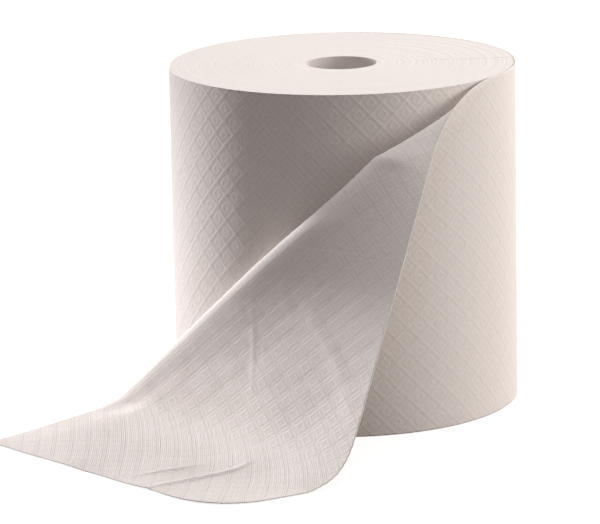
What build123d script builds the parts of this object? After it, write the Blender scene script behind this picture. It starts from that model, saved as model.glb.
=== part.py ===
from build123d import *

import os
from collections import Counter
from itertools import accumulate
from math import cos, exp, hypot, log1p, radians, sin

# A large wiper roll that stands on its end, its loose end folded over and laid on the floor.
# Millimetres and degrees. The origin is on the roll's axis at the floor, +Z is up, -Y faces the viewer.
# Angles round the roll run from the viewer's side (-Y) towards +X.

# The wound roll
ROLL_DIAMETER = 265.0
ROLL_HEIGHT = 260.0  # the width of the paper web
BORE_DIAMETER = 54.0
PAPER = 0.6  # two embossed plies, not pressed together
LAY_GAP = 0.15  # air between the loose paper and the turn under it
GROOVE_PITCH = 26.0  # grooves in the end faces, where turns stand a little lower
GROOVE_WIDTH = 1.6
GROOVE_DEPTH = 0.5

# The loose end's lower edge: off the roll, to the foot of the fold, and on along the floor
ROOT_ANGLE = 95.0  # the outer turn becomes the loose end here, behind the roll's right side
LEAVE_ANGLE = -30.0
FOOT_RUN = 117.0
FOOT_TURN = 80.0
FOOT_TURN_RADIUS = 30.0
TAIL_RUN = 95.0

# Its upper edge: leans out from the rim, comes down in front of the roll and lies on the floor
LIFT_ANGLE = 58.5
LIFT_RUN = 61.0
LIFT_ROUND = 58.0
TOUCH_ANGLE = -1.0
TOUCH_REACH = 134.0  # in front of the roll's side
TOUCH_ROUND = 28.0
END_ANGLE = -16.5
END_REACH = 199.0  # in front of the roll's side

# The fold between them
FOLD_ANGLE = 26.0  # the fold line would cross the upper edge here
FOLD_LEAN = 1.02  # 1 is a straight fold line on the flat paper, more starts steeper
FOLD_ROUND = 14.5  # half the paper that the bend takes up, at the foot of the fold
FOLD_BULGE_TOP = 22.0  # how far the folded paper stands off the paper behind it
FOLD_BULGE_FOOT = 7.0
FLOOR_EASE = 7.0  # height over which the folded paper eases on to the floor

# How finely the paper's surface is taken
STATIONS = 60  # lines across the paper, between which it is ruled
BEND_POINTS = 6  # on each of them, in the bend
BEND_STEPS = 32
NARROWEST = 3.0  # least width of a strip, where the paper isn't bent

radius = ROLL_DIAMETER / 2
step = PAPER + LAY_GAP  # the winding gains this much in its last turn
quarter_radii = [radius - quarter * step / 4 for quarter in range(4)]


def around(angle, reach, height=0.0):
    """The point at this angle round the roll's axis, this far from it."""
    return Vector(reach * sin(radians(angle)), -reach * cos(radians(angle)), height)


def along(angle):
    """The direction round the roll at this angle, towards larger angles."""
    return Vector(cos(radians(angle)), sin(radians(angle)))


# Wound roll: the last turn is a spiral of four quarter arcs, whose step is where the loose end starts
with BuildPart() as wound_roll:
    with BuildSketch():
        with BuildLine():
            turn = JernArc(around(ROOT_ANGLE, radius), along(ROOT_ANGLE), quarter_radii[0], 90)
            for quarter_radius in quarter_radii[1:]:
                turn = JernArc(turn @ 1, turn % 1, quarter_radius, 90)
            Line(turn @ 1, around(ROOT_ANGLE, radius))
        make_face()
        Circle(BORE_DIAMETER / 2, mode=Mode.SUBTRACT)
    extrude(amount=ROLL_HEIGHT)
    groove_count = int((radius - BORE_DIAMETER / 2 - GROOVE_WIDTH) / GROOVE_PITCH)
    for groove in range(1, groove_count + 1):
        groove_radius = BORE_DIAMETER / 2 + groove * GROOVE_PITCH
        for height, bottom in ((0, GROOVE_DEPTH), (ROLL_HEIGHT, ROLL_HEIGHT - GROOVE_DEPTH)):
            with BuildSketch(Plane.XZ):
                with BuildLine():
                    Polyline(
                        (groove_radius - GROOVE_WIDTH / 2, height),
                        (groove_radius, bottom),
                        (groove_radius + GROOVE_WIDTH / 2, height),
                        close=True,
                    )
                make_face()
            revolve(axis=Axis.Z, mode=Mode.SUBTRACT)
wound_roll.part.label = "wound_roll"

# Guide lines of the loose end, on the side of the paper that lay against the roll
lay = [quarter_radius + LAY_GAP for quarter_radius in quarter_radii]
with BuildLine() as lower_edge:
    wrap = JernArc(around(ROOT_ANGLE, radius - PAPER), -along(ROOT_ANGLE), lay[3], -90)
    wrap = JernArc(wrap @ 1, wrap % 1, lay[2], LEAVE_ANGLE - ROOT_ANGLE + 90)
    run = Line(wrap @ 1, (wrap @ 1) + (wrap % 1) * FOOT_RUN)
    bend = JernArc(run @ 1, run % 1, FOOT_TURN_RADIUS, FOOT_TURN)
    Line(bend @ 1, (bend @ 1) + (bend % 1) * TAIL_RUN)
lower_wire = lower_edge.wires()[0]
lower_length = lower_wire.length

lift = around(LIFT_ANGLE, radius - PAPER, ROLL_HEIGHT)
lift_corner = lift - along(LIFT_ANGLE) * LIFT_RUN
touch_corner = around(TOUCH_ANGLE, radius + TOUCH_REACH, PAPER)
end_corner = around(END_ANGLE, radius + END_REACH, PAPER)
descent = (touch_corner - lift_corner).normalized()
with BuildLine() as upper_edge:
    leaning = Bezier(lift, lift_corner, lift_corner + descent * LIFT_ROUND)
    hanging = Line(leaning @ 1, touch_corner - descent * TOUCH_ROUND)
    outward = (end_corner - touch_corner).normalized()
    touching = Bezier(hanging @ 1, touch_corner, touch_corner + outward * TOUCH_ROUND)
    Line(touching @ 1, end_corner)
upper_wire = upper_edge.wires()[0]

# Distances along the lower edge at which things happen
lift_at = radians(ROOT_ANGLE - LIFT_ANGLE) * radius
fold_at = radians(ROOT_ANGLE - FOLD_ANGLE) * radius
foot_at = lower_length - TAIL_RUN - bend.length / 2


def fold_line(distance):
    """Height at which the paper would fold if the fold were sharp."""
    share = (distance - fold_at) / (foot_at - fold_at)
    return ROLL_HEIGHT * (1 - share * (FOLD_LEAN + (1 - FOLD_LEAN) * share))


def fold_height(distance):
    """The fold line, eased on to the floor."""
    height = fold_line(distance)
    return height if height > 9 * FLOOR_EASE else FLOOR_EASE * log1p(exp(height / FLOOR_EASE))


def bend_curve(start, corner, over, stop):
    """Points on the cubic curve with these four controls."""
    places = [place / BEND_STEPS for place in range(BEND_STEPS + 1)]
    return [
        start * (1 - t) ** 3 + corner * (3 * t * (1 - t) ** 2) + over * (3 * t * t * (1 - t)) + stop * t**3
        for t in places
    ]


def section(distance):
    """Points across the paper: its lower edge, the bend, and its upper edge."""
    foot = lower_wire.position_at(distance, position_mode=PositionMode.LENGTH)
    heading = lower_wire.tangent_at(distance, position_mode=PositionMode.LENGTH)
    outside = Vector(-heading.Y, heading.X)
    if distance <= lift_at:
        return [foot] + [foot + Vector(0, 0, ROLL_HEIGHT)] * (BEND_STEPS + 2)
    upper_at = upper_wire.length * (distance - lift_at) / (lower_length - lift_at)
    upper = upper_wire.position_at(upper_at, position_mode=PositionMode.LENGTH)
    to_foot = max(0.0, (foot_at - distance) / (foot_at - lift_at))
    foot += Vector(0, 0, PAPER * (1 - to_foot) ** 4)
    height = fold_height(distance)
    whole_round = FOLD_ROUND + (fold_line(lift_at) - ROLL_HEIGHT - FOLD_ROUND) * to_foot**2
    bend_start = max(0.0, height - whole_round)
    taken = min(whole_round, height, (ROLL_HEIGHT - bend_start) / 2)
    bulge = (FOLD_BULGE_FOOT + (FOLD_BULGE_TOP - FOLD_BULGE_FOOT) * to_foot) * taken / whole_round
    start = foot + Vector(0, 0, bend_start)
    corner = start + Vector(0, 0, taken)
    over = corner + outside * bulge
    flap = upper - over
    stop = over + flap.normalized() * min(taken, flap.length / 2)
    return [foot, *bend_curve(start, corner, over, stop), upper]


def strips(points):
    """A section's two edges and, between them, even points on the bend, none of the three parts too narrow."""
    passed = list(accumulate(((b - a).length for a, b in zip(points, points[1:])), initial=0.0))
    parts = passed[1], passed[-2] - passed[1], passed[-1] - passed[-2]
    widths = [(part + hypot(part, 2 * NARROWEST)) / 2 for part in parts]
    first, second, last = (passed[-1] * width / sum(widths) for width in accumulate(widths))
    spaced = [points[0]]
    for place in range(BEND_POINTS):
        wanted = first + (second - first) * place / (BEND_POINTS - 1)
        at = next(i for i in range(len(points) - 1) if passed[i + 1] >= wanted)
        share = (wanted - passed[at]) / (passed[at + 1] - passed[at])
        spaced.append(points[at] * (1 - share) + points[at + 1] * share)
    return spaced + [points[-1]]


def outer_side(rows):
    """The same points, moved by the paper's thickness to the side that faced away from the roll."""
    moved = []
    for i, row in enumerate(rows):
        before, after = rows[max(i - 1, 0)], rows[min(i + 1, len(rows) - 1)]
        runs = [(b - a).normalized() for a, b in zip(row, row[1:])]
        upward = [a + b for a, b in zip(runs[:1] + runs, runs + runs[-1:])]
        moved.append([
            point + up.cross(after[j] - before[j]).normalized() * PAPER
            for j, (point, up) in enumerate(zip(row, upward))
        ])
    return moved


def skin(rows):
    """Faces between lines across the paper: the standing part, the bend and the flap. Paper bends and
    doesn't stretch, so it is ruled from each line to the next."""
    places = [place / (BEND_POINTS - 1) for place in range(BEND_POINTS)]
    lines = [
        Wire([
            Edge.make_line(row[0], row[1]),
            Edge.make_spline(row[1:-1], parameters=places),
            Edge.make_line(row[-2], row[-1]),
        ])
        for row in rows
    ]
    return Shell.make_loft(lines, ruled=True)


def rim(shell):
    """The edges that only one face of the shell has."""
    uses = Counter(edge for face in shell.faces() for edge in face.edges())
    return ShapeList(edge for edge, count in uses.items() if count == 1)


# Loose sheet: two skins, closed along the four edges of the paper
stations = [lower_length * place / (STATIONS - 1) for place in range(STATIONS)]
inner_rows = [strips(section(distance)) for distance in stations]
inner_skin, outer_skin = skin(inner_rows), skin(outer_side(inner_rows))
outer_rim = rim(outer_skin)
cut_edges = [
    Face.make_surface_from_curves(edge, outer_rim.sort_by_distance(edge.center())[0])
    for edge in rim(inner_skin)
]
with BuildPart() as loose_sheet:
    add(Solid(Shell([*inner_skin.faces(), *outer_skin.faces(), *cut_edges])))
loose_sheet.part.label = "loose_sheet"

os.makedirs("parts", exist_ok=True)
for piece in (wound_roll, loose_sheet):
    export_step(piece.part, f"parts/{piece.part.label}.step")
    box = piece.part.bounding_box()
    print(piece.part.label, round(piece.part.volume), box.min, box.max)
print("loose length", round(lower_length, 1))
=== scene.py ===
# %% [markdown]
# # A wiper roll with its loose end folded out
# A large roll of embossed tissue stands on its end. The last half metre of its web has come off the
# right side, is folded over in front of the roll, and runs out flat on the floor. The CAD part gives the
# roll and the folded sheet as two plain solids. This scene keeps their form and adds what paper has:
# the diamond embossing, the edges of the turns, the small wrinkles of a hand-made fold, and the light.

# %% The frame
import math

import bpy
import numpy as np
from mathutils import Matrix, Vector


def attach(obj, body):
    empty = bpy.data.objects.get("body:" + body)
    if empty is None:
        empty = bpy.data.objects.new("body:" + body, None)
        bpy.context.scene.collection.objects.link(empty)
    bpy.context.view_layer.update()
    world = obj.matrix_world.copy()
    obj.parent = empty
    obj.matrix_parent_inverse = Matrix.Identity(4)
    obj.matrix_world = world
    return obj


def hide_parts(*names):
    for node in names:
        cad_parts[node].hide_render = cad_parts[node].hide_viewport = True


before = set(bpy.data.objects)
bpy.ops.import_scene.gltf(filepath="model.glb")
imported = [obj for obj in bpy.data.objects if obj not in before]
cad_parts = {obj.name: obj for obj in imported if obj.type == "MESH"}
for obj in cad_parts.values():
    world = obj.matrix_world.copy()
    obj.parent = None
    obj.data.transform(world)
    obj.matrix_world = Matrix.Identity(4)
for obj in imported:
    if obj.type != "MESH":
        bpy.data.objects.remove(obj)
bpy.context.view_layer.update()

# %% [markdown]
# ## Sizes
# The names and numbers of the roll and of the paper's path are those of the CAD source, in metres and
# degrees. Each path size stands in the cell that first needs it.

# %% Sizes of the roll
RADIUS = 0.1325
HEIGHT = 0.260  # the width of the paper web
BORE_RADIUS = 0.027
PAPER = 0.0006
LAY_GAP = 0.00015  # air between the loose paper and the turn under it
CIRCUMFERENCE = 2 * math.pi * RADIUS

step = PAPER + LAY_GAP  # the winding gains this much in its last turn
quarter_radii = [RADIUS - quarter * step / 4 for quarter in range(4)]
print("roll:", round(CIRCUMFERENCE, 4), "m round and", HEIGHT, "m high")

# %% [markdown]
# ## The path of the paper
# Paper bends but hardly stretches. A cloth simulation could fold it, but it would land a little elsewhere
# each time a value changes, so the sheet is described as it was cut: a distance along its lower edge from
# where it leaves the winding, and a height across it. The lower edge is a walk of arcs and straight runs
# on the floor plan. A section stands up from each place on it, turns over at the fold and ends at the
# upper edge. A table of sections is then read at any distance and height.


# %% Points and curves
def around(angle, reach, height=0.0):
    """The point at this angle round the roll's axis, this far from it."""
    turn = math.radians(angle)
    return np.array([reach * math.sin(turn), -reach * math.cos(turn), height])


def along(angle):
    """The direction round the roll at this angle, towards larger angles."""
    turn = math.radians(angle)
    return np.array([math.cos(turn), math.sin(turn), 0.0])


def unit(vectors):
    """The vectors, each brought to length 1."""
    return vectors / np.linalg.norm(vectors, axis=-1, keepdims=True)


def ease(value):
    """From 0 to 1 with soft ends."""
    value = np.clip(value, 0.0, 1.0)
    return value * value * (3 - 2 * value)


def bezier(controls, count):
    """Points on the curve with these three or four controls."""
    t = np.linspace(0.0, 1.0, count)[:, None]
    points = [np.asarray(control)[None, :] for control in controls]
    while len(points) > 1:
        points = [a * (1 - t) + b * t for a, b in zip(points, points[1:])]
    return points[0]


def spread(points, count):
    """Evenly spaced points along a line of many short runs."""
    passed = np.concatenate([[0.0], np.cumsum(np.linalg.norm(np.diff(points, axis=0), axis=1))])
    even = np.linspace(0.0, passed[-1], count)
    return np.stack([np.interp(even, passed, points[:, axis]) for axis in range(3)], axis=1)


print("the roll's side towards the viewer is at", around(0.0, RADIUS))

# %% The lower edge
ROOT_ANGLE = 95.0  # the outer turn becomes the loose end here, behind the roll's right side
LEAVE_ANGLE = -30.0
FOOT_RUN, FOOT_TURN, FOOT_TURN_RADIUS = 0.117, 80.0, 0.030
TAIL_RUN = 0.095
STATIONS = 361  # places along the paper at which its section is taken


def arc(arc_radius, degrees):
    """A stretch that turns: its length, and its turn in radians."""
    return arc_radius * math.radians(abs(degrees)), math.radians(degrees)


def walk(place, heading, stretches, distance):
    """Places and headings at distances along stretches, each of a length and a turn in radians."""
    places = np.tile(place, (len(distance), 1))
    headings = np.full(len(distance), heading)
    for length, turn in stretches:
        gone = np.clip(distance, 0.0, length)
        turned = heading + turn * gone / length
        if turn:
            places[:, 0] += (np.sin(turned) - math.sin(heading)) * length / turn
            places[:, 1] -= (np.cos(turned) - math.cos(heading)) * length / turn
        else:
            places[:, 0] += gone * math.cos(heading)
            places[:, 1] += gone * math.sin(heading)
        headings += turned - heading
        heading += turn
        distance = distance - length
    return places, headings


foot_turn = arc(FOOT_TURN_RADIUS, FOOT_TURN)
stretches = [
    arc(quarter_radii[3] + LAY_GAP, -90.0),
    arc(quarter_radii[2] + LAY_GAP, LEAVE_ANGLE - ROOT_ANGLE + 90.0),
    (FOOT_RUN, 0.0),
    foot_turn,
    (TAIL_RUN, 0.0),
]
LENGTH = sum(length for length, turn in stretches)
distances = np.linspace(0.0, LENGTH, STATIONS)
root = around(ROOT_ANGLE, RADIUS - PAPER)
feet, headings = walk(root, math.radians(ROOT_ANGLE + 180.0), stretches, distances)
print("lower edge:", round(LENGTH, 4), "m long")

# %% The upper edge
LIFT_ANGLE, LIFT_RUN, LIFT_ROUND = 58.5, 0.061, 0.058
TOUCH_ANGLE, TOUCH_REACH, TOUCH_ROUND = -1.0, 0.134, 0.028
END_ANGLE, END_REACH = -16.5, 0.199
UPPER_STEPS = 2000

lift = around(LIFT_ANGLE, RADIUS - PAPER, HEIGHT)
lift_corner = lift - along(LIFT_ANGLE) * LIFT_RUN
touch_corner = around(TOUCH_ANGLE, RADIUS + TOUCH_REACH, PAPER)
end_corner = around(END_ANGLE, RADIUS + END_REACH, PAPER)
descent = unit(touch_corner - lift_corner)
outward = unit(end_corner - touch_corner)
touch_curve = [touch_corner - descent * TOUCH_ROUND, touch_corner, touch_corner + outward * TOUCH_ROUND]
upper_line = np.concatenate([
    bezier([lift, lift_corner, lift_corner + descent * LIFT_ROUND], 80),
    bezier(touch_curve, 60),
    end_corner[None, :],
])
upper_places = spread(upper_line, UPPER_STEPS + 1)
lift_at = math.radians(ROOT_ANGLE - LIFT_ANGLE) * RADIUS
print("upper edge: lifts off the roll", round(lift_at, 4), "m along the paper")

# %% The fold
FOLD_ANGLE, FOLD_LEAN, FOLD_ROUND = 26.0, 1.02, 0.0145
FOLD_BULGE_TOP, FOLD_BULGE_FOOT = 0.022, 0.007
FLOOR_EASE = 0.007  # height over which the folded paper eases on to the floor
ACROSS = 261  # points on a section

fold_at = math.radians(ROOT_ANGLE - FOLD_ANGLE) * RADIUS
foot_at = LENGTH - TAIL_RUN - foot_turn[0] / 2


def fold_line(distance):
    """Height at which the paper would fold if the fold were sharp."""
    share = (distance - fold_at) / (foot_at - fold_at)
    return HEIGHT * (1 - share * (FOLD_LEAN + (1 - FOLD_LEAN) * share))


def section(distance, foot, heading):
    """Points across the paper, from its lower edge to its upper edge."""
    up = np.array([0.0, 0.0, 1.0])
    if distance <= lift_at:
        return spread(np.stack([foot, foot + up * HEIGHT]), ACROSS)
    upper = upper_places[round(UPPER_STEPS * (distance - lift_at) / (LENGTH - lift_at))]
    to_foot = max(0.0, (foot_at - distance) / (foot_at - lift_at))
    foot = foot + up * PAPER * (1 - to_foot) ** 4
    sharp = fold_line(distance)
    far_up = sharp > 9 * FLOOR_EASE  # where easing would change nothing
    height = sharp if far_up else FLOOR_EASE * math.log1p(math.exp(sharp / FLOOR_EASE))
    whole_round = FOLD_ROUND + (fold_line(lift_at) - HEIGHT - FOLD_ROUND) * to_foot**2
    bend_start = max(0.0, height - whole_round)
    taken = min(whole_round, height, (HEIGHT - bend_start) / 2)
    bulge = (FOLD_BULGE_FOOT + (FOLD_BULGE_TOP - FOLD_BULGE_FOOT) * to_foot) * taken / whole_round
    start = foot + up * bend_start
    corner = start + up * taken
    over = corner + np.array([-math.sin(heading), math.cos(heading), 0.0]) * bulge
    flap = upper - over
    reach = np.linalg.norm(flap)
    stop = over + flap / reach * min(taken, reach / 2)
    curve = bezier([start, corner, over, stop], 33)
    return spread(np.concatenate([foot[None, :], curve, upper[None, :]]), ACROSS)


print("fold: meets the floor", round(foot_at, 4), "m along the paper")

# %% The table of sections
FREE_FROM = 0.26  # about here the paper comes clear of the roll
SOFT_ALONG, SOFT_ACROSS = 150, 260  # passes that soften the bend at the floor
SOFT_HEIGHT = 0.035  # softened in full below this, and not at all above twice as much
LYING = 0.003  # below this the softening fades out, so that what lies flat stays flat


def softened(table, passes, axis):
    """The table with each point drawn towards the mean of its neighbours on one axis."""
    table = np.moveaxis(table, axis, 0)
    for _ in range(passes):
        table[1:-1] = (table[:-2] + 2 * table[1:-1] + table[2:]) / 4
    return np.moveaxis(table, 0, axis)


def read_table(table, distance, height):
    """The table between its points, at distances along the paper and heights across it."""
    i = np.clip(distance / LENGTH, 0, 1) * (STATIONS - 1)
    j = np.clip(height / HEIGHT, 0, 1) * (ACROSS - 1)
    i0 = np.minimum(i.astype(int), STATIONS - 2)
    j0 = np.minimum(j.astype(int), ACROSS - 2)
    u, v = (i - i0)[:, None], (j - j0)[:, None]
    near = table[i0, j0] * (1 - v) + table[i0, j0 + 1] * v
    far = table[i0 + 1, j0] * (1 - v) + table[i0 + 1, j0 + 1] * v
    return near * (1 - u) + far * u


paper_table = np.stack([section(*place) for place in zip(distances, feet, headings)])
soft_table = softened(softened(paper_table.copy(), SOFT_ALONG, 0), SOFT_ACROSS, 1)
near_floor = ease(soft_table[..., 2:] / LYING) * ease(2 - paper_table[..., 2:] / SOFT_HEIGHT)
past_fold = np.linspace(0, HEIGHT, ACROSS) - fold_line(distances[:, None])
on_flap = ease((distances[:, None] - FREE_FROM) / 0.08) * ease(past_fold / 0.03 - 0.5)
paper_table += (soft_table - paper_table) * near_floor * on_flap[..., None]
upward = np.gradient(paper_table, axis=1)
onward = np.gradient(paper_table, axis=0)
outward_table = unit(np.cross(upward, onward))
print("table of sections:", paper_table.shape[:2], "points")

# %% [markdown]
# ## The embossing
# The web is pressed between rollers cut with a net of diamonds, 46 round this roll, each with a smaller one
# inside it. A displaced plain grid would need very many faces to hold such thin lines. A mesh whose edges
# run along the net's own lines holds the ridges with few: a grid turned on its corner, cut off at the edges
# of the paper by moving its outlying points on to them.

# %% The embossing
DIAMONDS_ROUND = 46  # counted on the photograph
DIAMOND_WIDTH = CIRCUMFERENCE / DIAMONDS_ROUND
DIAMOND_HEIGHT = 0.0188
DIAMOND_CELLS = 7  # quads along a diamond's side
EMBOSS = 0.00048  # from the lowest to the highest line of the pattern
RING_HEIGHTS = (1.0, 0.1, 0.65, 0.25)  # from a diamond's outline inwards, in shares of EMBOSS
HAIR = 1e-9


def diamond_grid(length, height):
    """Places (along, across) and quads of a net of diamonds that fills this length of paper."""
    cells = DIAMOND_CELLS
    most = int(cells * (length / DIAMOND_WIDTH + height / DIAMOND_HEIGHT)) + 2
    low = -int(cells * height / DIAMOND_HEIGHT) - 2
    high = int(cells * length / DIAMOND_WIDTH) + 2
    a, b = np.meshgrid(np.arange(0, most), np.arange(low, high), indexing="ij")
    places = np.stack([
        (a + b) * DIAMOND_WIDTH / (2 * cells),
        (a - b) * DIAMOND_HEIGHT / (2 * cells),
    ], axis=-1).reshape(-1, 2)
    index = np.arange(a.size).reshape(a.shape)
    sides = [index[:-1, :-1], index[1:, :-1], index[1:, 1:], index[:-1, 1:]]
    quads = np.stack(sides, axis=-1).reshape(-1, 4)
    corners = places[quads]
    starts_inside = corners.min(axis=1) < [length - HAIR, height - HAIR]
    ends_inside = corners.max(axis=1) > HAIR
    inside = np.all(starts_inside & ends_inside, axis=1)
    used, quads = np.unique(quads[inside], return_inverse=True)
    return np.clip(places[used], 0.0, [length, height]), quads.reshape(-1, 4)


def embossing(places):
    """Height of the pattern, from 0 to EMBOSS: a ridge on the net's lines and one inside each diamond."""
    a = places[:, 0] / DIAMOND_WIDTH + places[:, 1] / DIAMOND_HEIGHT
    b = places[:, 0] / DIAMOND_WIDTH - places[:, 1] / DIAMOND_HEIGHT
    inward = np.minimum(np.abs(a - np.round(a)), np.abs(b - np.round(b)))
    return EMBOSS * np.interp(inward * DIAMOND_CELLS, np.arange(len(RING_HEIGHTS)), RING_HEIGHTS)


def paper_mesh(name, points, quads, places):
    """A smooth mesh with a UV map in metres along and across the paper."""
    mesh = bpy.data.meshes.new(name)
    mesh.from_pydata(points.tolist(), [], quads.tolist())
    mesh.polygons.foreach_set("use_smooth", np.ones(len(mesh.polygons), dtype=bool))
    corners = np.empty(len(mesh.loops), dtype=np.int32)
    mesh.loops.foreach_get("vertex_index", corners)
    flat = places[corners].astype(np.float32).ravel()
    mesh.uv_layers.new(name="paper").data.foreach_set("uv", flat)
    mesh.validate()
    piece = bpy.data.objects.new(name, mesh)
    bpy.context.scene.collection.objects.link(piece)
    return piece


print("diamonds:", round(DIAMOND_WIDTH * 1000, 1), "by", round(DIAMOND_HEIGHT * 1000, 1), "mm")

# %% [markdown]
# ## Tissue
# Creped tissue is matt and warm white. Its colour hardly varies; what the eye reads is fine relief, and the
# embossing's lines are painted a little lighter as a painted highlight of it. Lines and ribs finer than the
# mesh could be cut into it, at many times the faces, so they are bump instead, and they follow the paper's
# own UV map, which bends with the sheet. The loose end was pulled about, so its ribs are weaker; its
# outlines carry painted shade, darkened in a dashed line and most where it lies on the floor, and a row of
# slits, painted lighter as a painted highlight, crosses it where two sheets meet.


# %% Node helpers
class Socket:
    """One value in a node tree, with the usual operators."""

    def __init__(self, socket):
        self.socket = socket
        self.tree = socket.id_data

    @staticmethod
    def node(tree, kind, settings=(), **inputs):
        """Adds a node of this kind, sets it up, joins its inputs by name, and returns it."""
        made = tree.nodes.new(kind)
        for key, value in dict(settings).items():
            setattr(made, key, value)
        for key, value in inputs.items():
            Socket.join(made.inputs[key.replace("_", " ")], value)
        return made

    @staticmethod
    def join(target, value):
        """Links an input to a socket, or sets it to a plain value."""
        if isinstance(value, Socket):
            value.tree.links.new(value.socket, target)
        else:
            target.default_value = value

    def math(self, operation, *others):
        """A Math node that starts with this value."""
        return Socket.calculate(self.tree, operation, self, *others)

    @staticmethod
    def calculate(tree, operation, *values):
        """A Math node on these values, of which at least one is a socket."""
        made = Socket.node(tree, "ShaderNodeMath", {"operation": operation})
        for target, value in zip(made.inputs, values):
            Socket.join(target, value)
        return Socket(made.outputs[0])

    def __add__(self, other):
        return self.math("ADD", other)

    def __sub__(self, other):
        return self.math("SUBTRACT", other)

    def __rsub__(self, other):
        return Socket.calculate(self.tree, "SUBTRACT", other, self)

    def __mul__(self, other):
        return self.math("MULTIPLY", other)

    def __truediv__(self, other):
        return self.math("DIVIDE", other)

    def __rtruediv__(self, other):
        return Socket.calculate(self.tree, "DIVIDE", other, self)

    __radd__ = __add__
    __rmul__ = __mul__


def off_whole(value):
    """How far a value is from the nearest whole number."""
    return (value - value.math("ROUND")).math("ABSOLUTE")


def limited(value):
    """The value, kept between 0 and 1."""
    return value.math("MAXIMUM", 0.0).math("MINIMUM", 1.0)


print("node helpers:", Socket.__name__, off_whole.__name__, limited.__name__)

# %% Tissue
TISSUE_COLOUR = (0.93, 0.868, 0.834)
RIBS = 9  # fine ribs to a diamond's side
LINE_RELIEF, RIB_RELIEF, GRAIN_RELIEF, SLIT_RELIEF = 0.40, 0.17, 0.7, 0.8
# The colour's ground tone, the painted highlight on the embossing's lines, and the painted highlight on the
# slits
GROUND_SHADE, LINE_PAINTED_HIGHLIGHT, SLIT_PAINTED_HIGHLIGHT = 0.935, 0.035, 0.03
DASH_REACH = 1 / 14  # of the way across a diamond, to either side of its outline
LAID_FROM = 0.42  # the paper lies on the floor from about this distance on
SHEET = LENGTH / 2  # the loose end is two sheets long
SLIT_REACH = 0.0005  # to either side of the line between two sheets
SLITS, SLIT_SHARE = 5.0, 0.75  # slits to a diamond's height, and how much of that is cut


def tissue_material(name, perforated):
    """Matt warm white, with the fine lines of the embossing and a crepe grain as bump, the lines also
    painted lighter as a painted highlight, and on the loose end painted shade on the dashed outlines and a
    painted highlight on the slits.
    """
    material = bpy.data.materials.new(name)
    material.use_nodes = True
    tree = material.node_tree
    shader = tree.nodes["Principled BSDF"]
    shader.inputs["Roughness"].default_value = 0.95
    shader.inputs["Specular IOR Level"].default_value = 0.2
    flat = Socket.node(tree, "ShaderNodeUVMap", {"uv_map": "paper"})
    place = Socket.node(tree, "ShaderNodeSeparateXYZ", Vector=Socket(flat.outputs["UV"]))
    distance = Socket(place.outputs["X"])
    across = Socket(place.outputs["Y"]) / DIAMOND_HEIGHT
    onward = distance / DIAMOND_WIDTH
    rising = onward + across
    falling = onward - across
    inward = off_whole(rising).math("MINIMUM", off_whole(falling))
    lines = ((inward * (DIAMOND_CELLS * math.pi)).math("COSINE") * 0.5 + 0.5).math("POWER", 2.0)
    rib_turns = 2 * math.pi * RIBS
    ribs = (rising * rib_turns).math("COSINE") + (falling * rib_turns).math("COSINE")
    spot = Socket(Socket.node(tree, "ShaderNodeTexCoord").outputs["Object"])
    noise = Socket.node(tree, "ShaderNodeTexNoise", Vector=spot, Scale=900.0, Detail=2.0, Roughness=0.6)
    grain = Socket(noise.outputs["Fac"]) * GRAIN_RELIEF
    # The embossing's lines are painted lighter in the colour: a painted highlight of the relief.
    shade = lines * LINE_PAINTED_HIGHLIGHT + GROUND_SHADE
    if perforated:
        free = limited((distance - FREE_FROM) * 6.0)
        laid = limited((distance - LAID_FROM) * 20.0)
        strength = free * 0.8 + 0.5 - laid * 0.55
        ribbed = RIB_RELIEF - free * 0.11 + laid * 0.14
        from_cut = off_whole(distance / SHEET) * SHEET
        slit_row = (across * SLITS).math("FRACT").math("LESS_THAN", SLIT_SHARE)
        slit = from_cut.math("LESS_THAN", SLIT_REACH) * slit_row
        # Painted shade: the outlines are darkened in the colour in a dashed line, as the shade in their
        # dimples, far more where the paper lies on the floor.
        dimple_painted_shade = (1.0 - inward / DASH_REACH).math("MAXIMUM", 0.0) * ribs * 0.5
        relief = (lines * LINE_RELIEF + ribs * ribbed) * strength + grain + slit * SLIT_RELIEF
        # Painted highlight: the slits are painted a little lighter in the colour.
        shade = shade + slit * SLIT_PAINTED_HIGHLIGHT - dimple_painted_shade * (free * 0.10 + laid * 0.38)
    else:
        relief = lines * LINE_RELIEF + ribs * RIB_RELIEF + grain
    tint = Socket.node(
        tree, "ShaderNodeMix", {"data_type": "RGBA", "blend_type": "MIX"},
        A=(0.0, 0.0, 0.0, 1.0), B=(*TISSUE_COLOUR, 1.0), Factor=shade,
    )
    Socket.join(shader.inputs["Base Color"], Socket(tint.outputs["Result"]))
    bump = Socket.node(tree, "ShaderNodeBump", Strength=0.8, Distance=0.0003, Height=relief)
    Socket.join(shader.inputs["Normal"], Socket(bump.outputs["Normal"]))
    print(name, "has", len(tree.nodes), "nodes")
    return material


tissue = tissue_material("tissue", perforated=False)
torn_tissue = tissue_material("tissue_perforated", perforated=True)

# %% [markdown]
# ## The wound roll
# The side of the roll is one turn of the web: the net of diamonds, bent to a spiral that gains one paper
# thickness and a little air in a turn. The two ends are the cut edges of some hundred turns, no two quite
# level. They could be painted on a disc, but a grazing light would show it flat. They follow a rule, so
# Geometry Nodes lays them: rings of paper and gaps between them, each at its own seeded height.

# %% The roll's side
LEVELLING = 0.08  # from the root on, the side sinks by the height of the pattern over this distance

places, quads = diamond_grid(CIRCUMFERENCE, HEIGHT)
turn = math.radians(ROOT_ANGLE) + places[:, 0] / RADIUS
sunk = EMBOSS * ease(places[:, 0] / LEVELLING)  # level with the loose sheet where that begins
reach = RADIUS - step * places[:, 0] / CIRCUMFERENCE + embossing(places) - sunk
points = np.stack([reach * np.sin(turn), -reach * np.cos(turn), places[:, 1]], axis=1)
roll = paper_mesh("embossed_roll", points, quads[:, ::-1], places)
roll.data.materials.append(tissue)
print("roll side:", len(quads), "quads")


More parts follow.
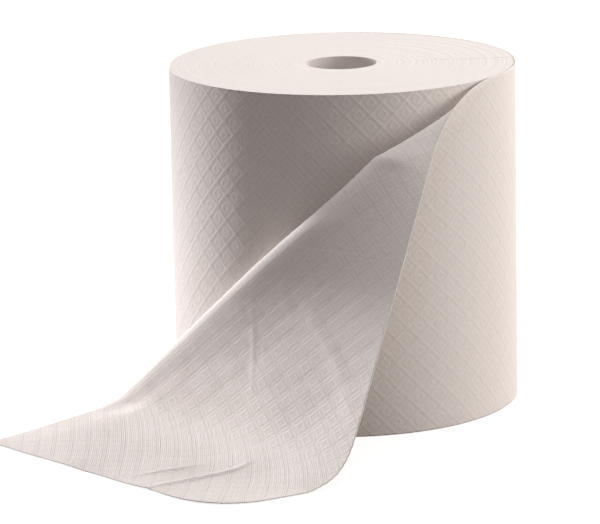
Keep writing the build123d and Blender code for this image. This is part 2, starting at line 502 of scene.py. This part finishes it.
# %% The tree for the roll's ends
def turns_tree():
    """Both ends and the bore of a roll, from its radii, its height and the number of rings to show."""
    tree = bpy.data.node_groups.new("turns", "GeometryNodeTree")
    sizes = ("Bore", "Radius", "Height", "Root", "Gain")
    kinds = {label: "NodeSocketFloat" for label in sizes}
    kinds |= {"Rings": "NodeSocketInt", "Steps": "NodeSocketInt", "Uneven": "NodeSocketFloat"}
    kinds |= {"Seed": "NodeSocketFloat", "Material": "NodeSocketMaterial"}
    for label, kind in kinds.items():
        tree.interface.new_socket(label, in_out="INPUT", socket_type=kind)
    tree.interface.new_socket("Geometry", in_out="OUTPUT", socket_type="NodeSocketGeometry")
    given = Socket.node(tree, "NodeGroupInput")
    value = {socket.name: Socket(socket) for socket in given.outputs if socket.name}

    def make(kind, settings=(), **inputs):
        """A node of the tree, as its first output."""
        return Socket(Socket.node(tree, kind, settings, **inputs).outputs[0])

    # A flat grid, one line of points to each ring and each gap, is bent round to the upper end
    lines = value["Rings"] * 2.0 + 1.0
    steps = value["Steps"] + 1.0
    grid = make("GeometryNodeMeshGrid", Size_X=1.0, Size_Y=1.0, Vertices_X=steps, Vertices_Y=lines)
    place = Socket.node(tree, "ShaderNodeSeparateXYZ", Vector=make("GeometryNodeInputPosition"))
    gone = 0.5 - Socket(place.outputs["X"])
    angle = value["Root"] + gone * (2 * math.pi)
    share = Socket(place.outputs["Y"]) + 0.5
    line = (share * (lines - 1.0)).math("ROUND")
    chance = make("ShaderNodeTexWhiteNoise", {"noise_dimensions": "1D"}, W=line + value["Seed"])
    gap = line.math("MODULO", 2.0)
    sunk = value["Uneven"] * (chance * 0.6 + gap * 0.4)
    at_rim = share.math("GREATER_THAN", 0.999)
    rim = value["Radius"] - value["Gain"] * gone
    reach = value["Bore"] + (rim - value["Bore"]) * share
    ring = make(
        "ShaderNodeCombineXYZ",
        X=reach * angle.math("SINE"),
        Y=reach * angle.math("COSINE") * -1.0,
        Z=value["Height"] - sunk * (1.0 - at_rim),
    )
    top = make("GeometryNodeSetPosition", Geometry=grid, Position=ring)

    # The lower end is its mirror image, and the bore a cylinder seen from inside
    mirror = make("GeometryNodeTransform", Geometry=top, Scale=(1, 1, -1))
    whole_up = make("ShaderNodeCombineXYZ", Z=value["Height"])
    mirror_up = make("GeometryNodeTransform", Geometry=mirror, Translation=whole_up)
    bottom = make("GeometryNodeFlipFaces", Mesh=mirror_up)
    depth = value["Height"] - value["Uneven"] * 0.5
    bore = make(
        "GeometryNodeMeshCylinder", {"fill_type": "NONE"},
        Vertices=value["Steps"], Radius=value["Bore"], Depth=depth,
    )
    half_up = make("ShaderNodeCombineXYZ", Z=value["Height"] * 0.5)
    bore_up = make("GeometryNodeTransform", Geometry=bore, Translation=half_up)
    wall = make("GeometryNodeFlipFaces", Mesh=bore_up)

    joined = Socket.node(tree, "GeometryNodeJoinGeometry")
    for source in (top, bottom, wall):
        Socket.join(joined.inputs[0], source)
    merged = make("GeometryNodeMergeByDistance", Geometry=Socket(joined.outputs[0]), Distance=1e-5)
    smooth = make("GeometryNodeSetShadeSmooth", Geometry=merged, Shade_Smooth=True)
    real = make("GeometryNodeRealizeInstances", Geometry=smooth)
    painted = make("GeometryNodeSetMaterial", Geometry=real, Material=value["Material"])
    Socket.node(tree, "NodeGroupOutput", Geometry=painted)
    return tree


ends_tree = turns_tree()
print("tree for the ends:", len(ends_tree.nodes), "nodes")

# %% The roll's ends
SEED = 7


def grown(name, tree, **inputs):
    """The mesh that a Geometry Nodes tree makes from these inputs, as an object with no modifier."""
    holder = bpy.data.objects.new(name, bpy.data.meshes.new(name))
    bpy.context.scene.collection.objects.link(holder)
    modifier = holder.modifiers.new(name, "NODES")
    modifier.node_group = tree
    for socket in tree.interface.items_tree:
        if socket.in_out == "INPUT":
            modifier[socket.identifier] = inputs[socket.name]
    graph = bpy.context.evaluated_depsgraph_get()
    mesh = bpy.data.meshes.new_from_object(holder.evaluated_get(graph))
    holder.modifiers.clear()
    holder.data = mesh
    return holder


ends = grown(
    "ends", ends_tree, Bore=BORE_RADIUS, Radius=RADIUS, Height=HEIGHT, Root=math.radians(ROOT_ANGLE),
    Gain=step, Rings=64, Steps=120, Uneven=0.0006, Seed=float(SEED), Material=tissue,
)
print("roll ends:", len(ends.data.polygons), "faces")
with bpy.context.temp_override(active_object=roll, selected_editable_objects=[roll, ends]):
    bpy.ops.object.join()

# %% [markdown]
# ## The loose sheet
# The same net of diamonds is laid through the table of sections. A fold made by hand is never clean: the
# paper puckers along it, a few sharp creases run down the flap, the flat end lifts off the floor here and
# there, and its torn edge wanders. Sculpting would give all this too, but not twice the same. Here it is
# added at right angles to the paper, as heights over places on the flat sheet. Where the outer side looks
# down, the embossing is pressed upwards, so that nothing sinks into the floor.

# %% Chance heights and creases
CHANCE_SIZE = 64  # squares before the chance heights repeat

# Places on the flat sheet, along and across it, with the width and the height of the crease
CREASES = [
    ((0.318, 0.137), (0.395, 0.153), 0.0018, 0.00030),
    ((0.286, 0.158), (0.325, 0.172), 0.0020, 0.00015),
    ((0.402, 0.040), (0.416, 0.070), 0.0040, 0.00055),
    ((0.300, 0.140), (0.315, 0.205), 0.0040, 0.00020),
    ((0.318, 0.185), (0.356, 0.226), 0.0060, 0.00045),
    ((0.346, 0.216), (0.392, 0.252), 0.0060, 0.00050),
    ((0.450, 0.185), (0.542, 0.183), 0.0020, 0.0011),
    ((0.470, 0.160), (0.530, 0.150), 0.0020, 0.0006),
]


def wander(u, v, seed):
    """Smooth chance heights from -1 to 1, about one to a unit square."""
    heights = np.random.default_rng(seed).uniform(-1.0, 1.0, (CHANCE_SIZE, CHANCE_SIZE))
    i, j = np.floor(u).astype(int), np.floor(v).astype(int)
    x, y = ease(u - i), ease(v - j)
    i0, i1 = i % CHANCE_SIZE, (i + 1) % CHANCE_SIZE
    j0, j1 = j % CHANCE_SIZE, (j + 1) % CHANCE_SIZE
    near = heights[i0, j0] * (1 - y) + heights[i0, j1] * y
    far = heights[i1, j0] * (1 - y) + heights[i1, j1] * y
    return near * (1 - x) + far * x


def crease(places, start, stop, width):
    """A soft ridge of height 1 between two places on the sheet."""
    start, run = np.array(start), np.array(stop) - np.array(start)
    share = np.clip((places - start) @ run / (run @ run), 0.0, 1.0)
    off = np.linalg.norm(places - start - share[:, None] * run, axis=1)
    return np.exp(-((off / width) ** 2)) * np.sin(np.pi * np.clip(share, 0.04, 0.96)) ** 0.5


print("creases:", len(CREASES))

# %% Wrinkles
PUCKER_RISE, SWELL_RISE, FINE_RISE, FLOOR_RISE = 0.0006, 0.0008, 0.00030, 0.0005
PUCKER_FROM_FOLD, PUCKER_WIDTH = 0.012, 0.016  # the band along the fold that puckers
FINE_FROM = 0.27  # fine wrinkles begin at this distance

# One wave's size along and across the paper
PUCKER_ALONG, PUCKER_ACROSS = 0.016, 0.09
SWELL_SIZE = 0.055
FINE_ALONG, FINE_ACROSS = 0.011, 0.018
FLOOR_ALONG, FLOOR_ACROSS = 0.045, 0.03


def wrinkles(places, base):
    """How far the paper stands off its smooth form, on the side that lay against the roll."""
    distance, height = places.T
    past_fold = height - fold_line(distance)
    lifted = ease((distance - lift_at - 0.03) / 0.06)
    on_flap = ease(past_fold / 0.020) * lifted * ease(base[:, 2] / 0.03)
    on_floor = ease((distance - foot_at) / 0.03) * (1 - ease(base[:, 2] / 0.02))
    band = np.exp(-(((past_fold - PUCKER_FROM_FOLD) / PUCKER_WIDTH) ** 2))
    pucker = band * wander(distance / PUCKER_ALONG, height / PUCKER_ACROSS, SEED)
    swell = wander(distance / SWELL_SIZE, height / SWELL_SIZE, SEED + 1)
    fine = wander(distance / FINE_ALONG, height / FINE_ACROSS, SEED + 2)
    fine *= ease((distance - FINE_FROM) / 0.08)
    hollow = 1 + wander(distance / FLOOR_ALONG, height / FLOOR_ACROSS, SEED + 3)
    off = on_flap * (PUCKER_RISE * pucker + SWELL_RISE * swell + FINE_RISE * fine)
    off += on_floor * FLOOR_RISE * hollow
    for start, stop, width, rise in CREASES:
        off += rise * np.maximum(on_flap, on_floor) * crease(places, start, stop, width)
    return np.where(on_floor > 0.5, np.maximum(off, 0.0), off)


def rounded(places, radius):
    """Places with the sheet's last upper corner drawn in to a round one."""
    square = np.clip((places - np.array([LENGTH, HEIGHT])) / radius + 1, 0.0, 1.0)
    disc = square * np.sqrt(1 - square[:, ::-1] ** 2 / 2)
    return places + (disc - square) * radius


print("wrinkles: swells of up to", SWELL_RISE * 1000, "mm")

# %% The loose sheet
CORNER_ROUND = 0.040
TORN_DEPTH, TORN_SIZE, TORN_REACH = 0.0012, 0.021, 0.02  # the torn edge's waves, and how far in they go

places, quads = diamond_grid(LENGTH, HEIGHT)
cut = rounded(places, CORNER_ROUND)
base = read_table(paper_table, cut[:, 0], cut[:, 1])
facing = unit(read_table(outward_table, cut[:, 0], cut[:, 1]))
downward = np.clip(-facing[:, 2], 0, 1)

# The pattern is pressed flatter where the paper was wound, and again where it lies on the floor
free = ease((places[:, 0] - FREE_FROM) / 0.15)
laid = ease((places[:, 0] - LAID_FROM) / 0.05)
full = 0.75 + 0.25 * free - 0.35 * laid
stand_off = full * embossing(places) - EMBOSS * downward - wrinkles(places, base)
points = base + facing * stand_off[:, None]
torn = ease((places[:, 0] - LENGTH + TORN_REACH) / TORN_REACH)
waves = wander(places[:, 1] / TORN_SIZE, places[:, 1] * 0, SEED + 4)
points += torn[:, None] * TORN_DEPTH * waves[:, None] * along(END_ANGLE)
loose = paper_mesh("folded_sheet", points, quads, places)
loose.data.materials.append(torn_tissue)
solidify = loose.modifiers.new("paper", "SOLIDIFY")
solidify.thickness = PAPER
solidify.offset = 1.0
print("loose sheet:", len(quads), "quads a side")

# %% [markdown]
# ## Floor, light and camera
# The roll stands on a plain white floor. More light on the floor would bleach the paper too, so the floor is
# grey to the lamps, which keeps its shadow, and glows only for the rays that look at it. A low, narrow key
# from the left and behind grazes the paper and brings out the relief. A side light on the right, a top light
# and a back light are broad and weaker, and leave the roll's side towards the viewer in shade.

# %% Floor
FLOOR_SIZE = 12.0
FLOOR_COLOUR = (0.36, 0.34, 0.33, 1.0)
FLOOR_GLOW = 0.84

bpy.ops.mesh.primitive_plane_add(size=FLOOR_SIZE, location=(0, 0, 0))
floor = bpy.context.object
floor.name = "floor"
floor_paint = bpy.data.materials.new("floor")
floor_paint.use_nodes = True
shader = floor_paint.node_tree.nodes["Principled BSDF"]
shader.inputs["Base Color"].default_value = FLOOR_COLOUR
shader.inputs["Roughness"].default_value = 1.0
shader.inputs["Specular IOR Level"].default_value = 0.0
shader.inputs["Emission Strength"].default_value = 1.0
rays = Socket.node(floor_paint.node_tree, "ShaderNodeLightPath").outputs
seen = Socket(rays["Is Camera Ray"])
for kind in ("Is Glossy Ray", "Is Transmission Ray"):
    seen = seen.math("MAXIMUM", Socket(rays[kind]))
Socket.join(shader.inputs["Emission Color"], seen * FLOOR_GLOW)
floor_paint.cycles.emission_sampling = "NONE"  # it isn't sampled as a lamp
floor.data.materials.append(floor_paint)
print("floor:", FLOOR_SIZE, "m square")

# %% Light
LIGHT_DISTANCE = 2.2


def place_light(light, angle, elevation, aside=0.0):
    """Aims a light at the roll from this angle round it and this height in degrees, or aside of it."""
    lamp = bpy.data.objects.new(light.name, light)
    rise = math.radians(elevation)
    shift = along(angle) * aside
    stand = around(angle, LIGHT_DISTANCE * math.cos(rise), LIGHT_DISTANCE * math.sin(rise))
    lamp.location = stand + shift
    target = Vector(shift) + Vector((0.0, 0.0, HEIGHT / 4))
    lamp.rotation_euler = (target - lamp.location).to_track_quat("-Z", "Y").to_euler()
    bpy.context.scene.collection.objects.link(lamp)
    print("light:", light.name, light.energy, "W")


def soft_light(name, angle, elevation, size, watts, colour=(1.0, 1.0, 1.0)):
    """A square lamp of this size in metres."""
    light = bpy.data.lights.new(name, "AREA")
    light.size, light.energy, light.color = size, watts, colour
    place_light(light, angle, elevation)


key = bpy.data.lights.new("key", "SPOT")
key.energy, key.color, key.shadow_soft_size = 280.0, (1.0, 0.99, 1.0), 0.22
key.spot_size, key.spot_blend = math.radians(21.0), 0.6
place_light(key, -128.0, 9.0, aside=0.30)
soft_light("side", 84.0, 12.0, 1.4, 38.0, (1.0, 0.965, 0.93))
soft_light("top", 0.0, 86.0, 1.2, 21.0)
soft_light("back", 150.0, 34.0, 1.0, 23.0)

world = bpy.data.worlds.new("world")
bpy.context.scene.world = world
world.use_nodes = True
sky = world.node_tree.nodes["Background"]
sky.inputs["Color"].default_value = (1.0, 0.89, 0.87, 1.0)
sky.inputs["Strength"].default_value = 0.13

# %% Camera
CAMERA_PLACE = (0.0, -3.04704, 0.82090)
YAW, PITCH, ROLL = (math.radians(angle) for angle in (-0.6503, 13.2428, -1.05146))
FOCAL_PIXELS, FRAME_PIXELS = 4047.6, 600  # the focal length and the photograph's width
SENSOR = 36.0

forward = Vector((math.sin(YAW) * math.cos(PITCH), math.cos(YAW) * math.cos(PITCH), -math.sin(PITCH)))
level = Vector((math.cos(YAW), -math.sin(YAW), 0.0))
upright = level.cross(forward)
right = level * math.cos(ROLL) + upright * math.sin(ROLL)
above = upright * math.cos(ROLL) - level * math.sin(ROLL)
lens = bpy.data.cameras.new("camera")
lens.sensor_fit, lens.sensor_width = "HORIZONTAL", SENSOR
lens.lens = SENSOR * FOCAL_PIXELS / FRAME_PIXELS
camera = bpy.data.objects.new("camera", lens)
camera.matrix_world = Matrix((
    (right.x, above.x, -forward.x, CAMERA_PLACE[0]),
    (right.y, above.y, -forward.y, CAMERA_PLACE[1]),
    (right.z, above.z, -forward.z, CAMERA_PLACE[2]),
    (0, 0, 0, 1),
))
bpy.context.scene.collection.objects.link(camera)
bpy.context.scene.camera = camera
bpy.context.scene.view_settings.view_transform = "Standard"
print("camera:", round(lens.lens, 1), "mm lens")

# %% [markdown]
# ## Hand over
# Both pieces ride on the one body and stand for their CAD nodes.

# %% Hand over
for piece, node in ((roll, "wound_roll"), (loose, "loose_sheet")):
    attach(piece, "root")
    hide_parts(node)
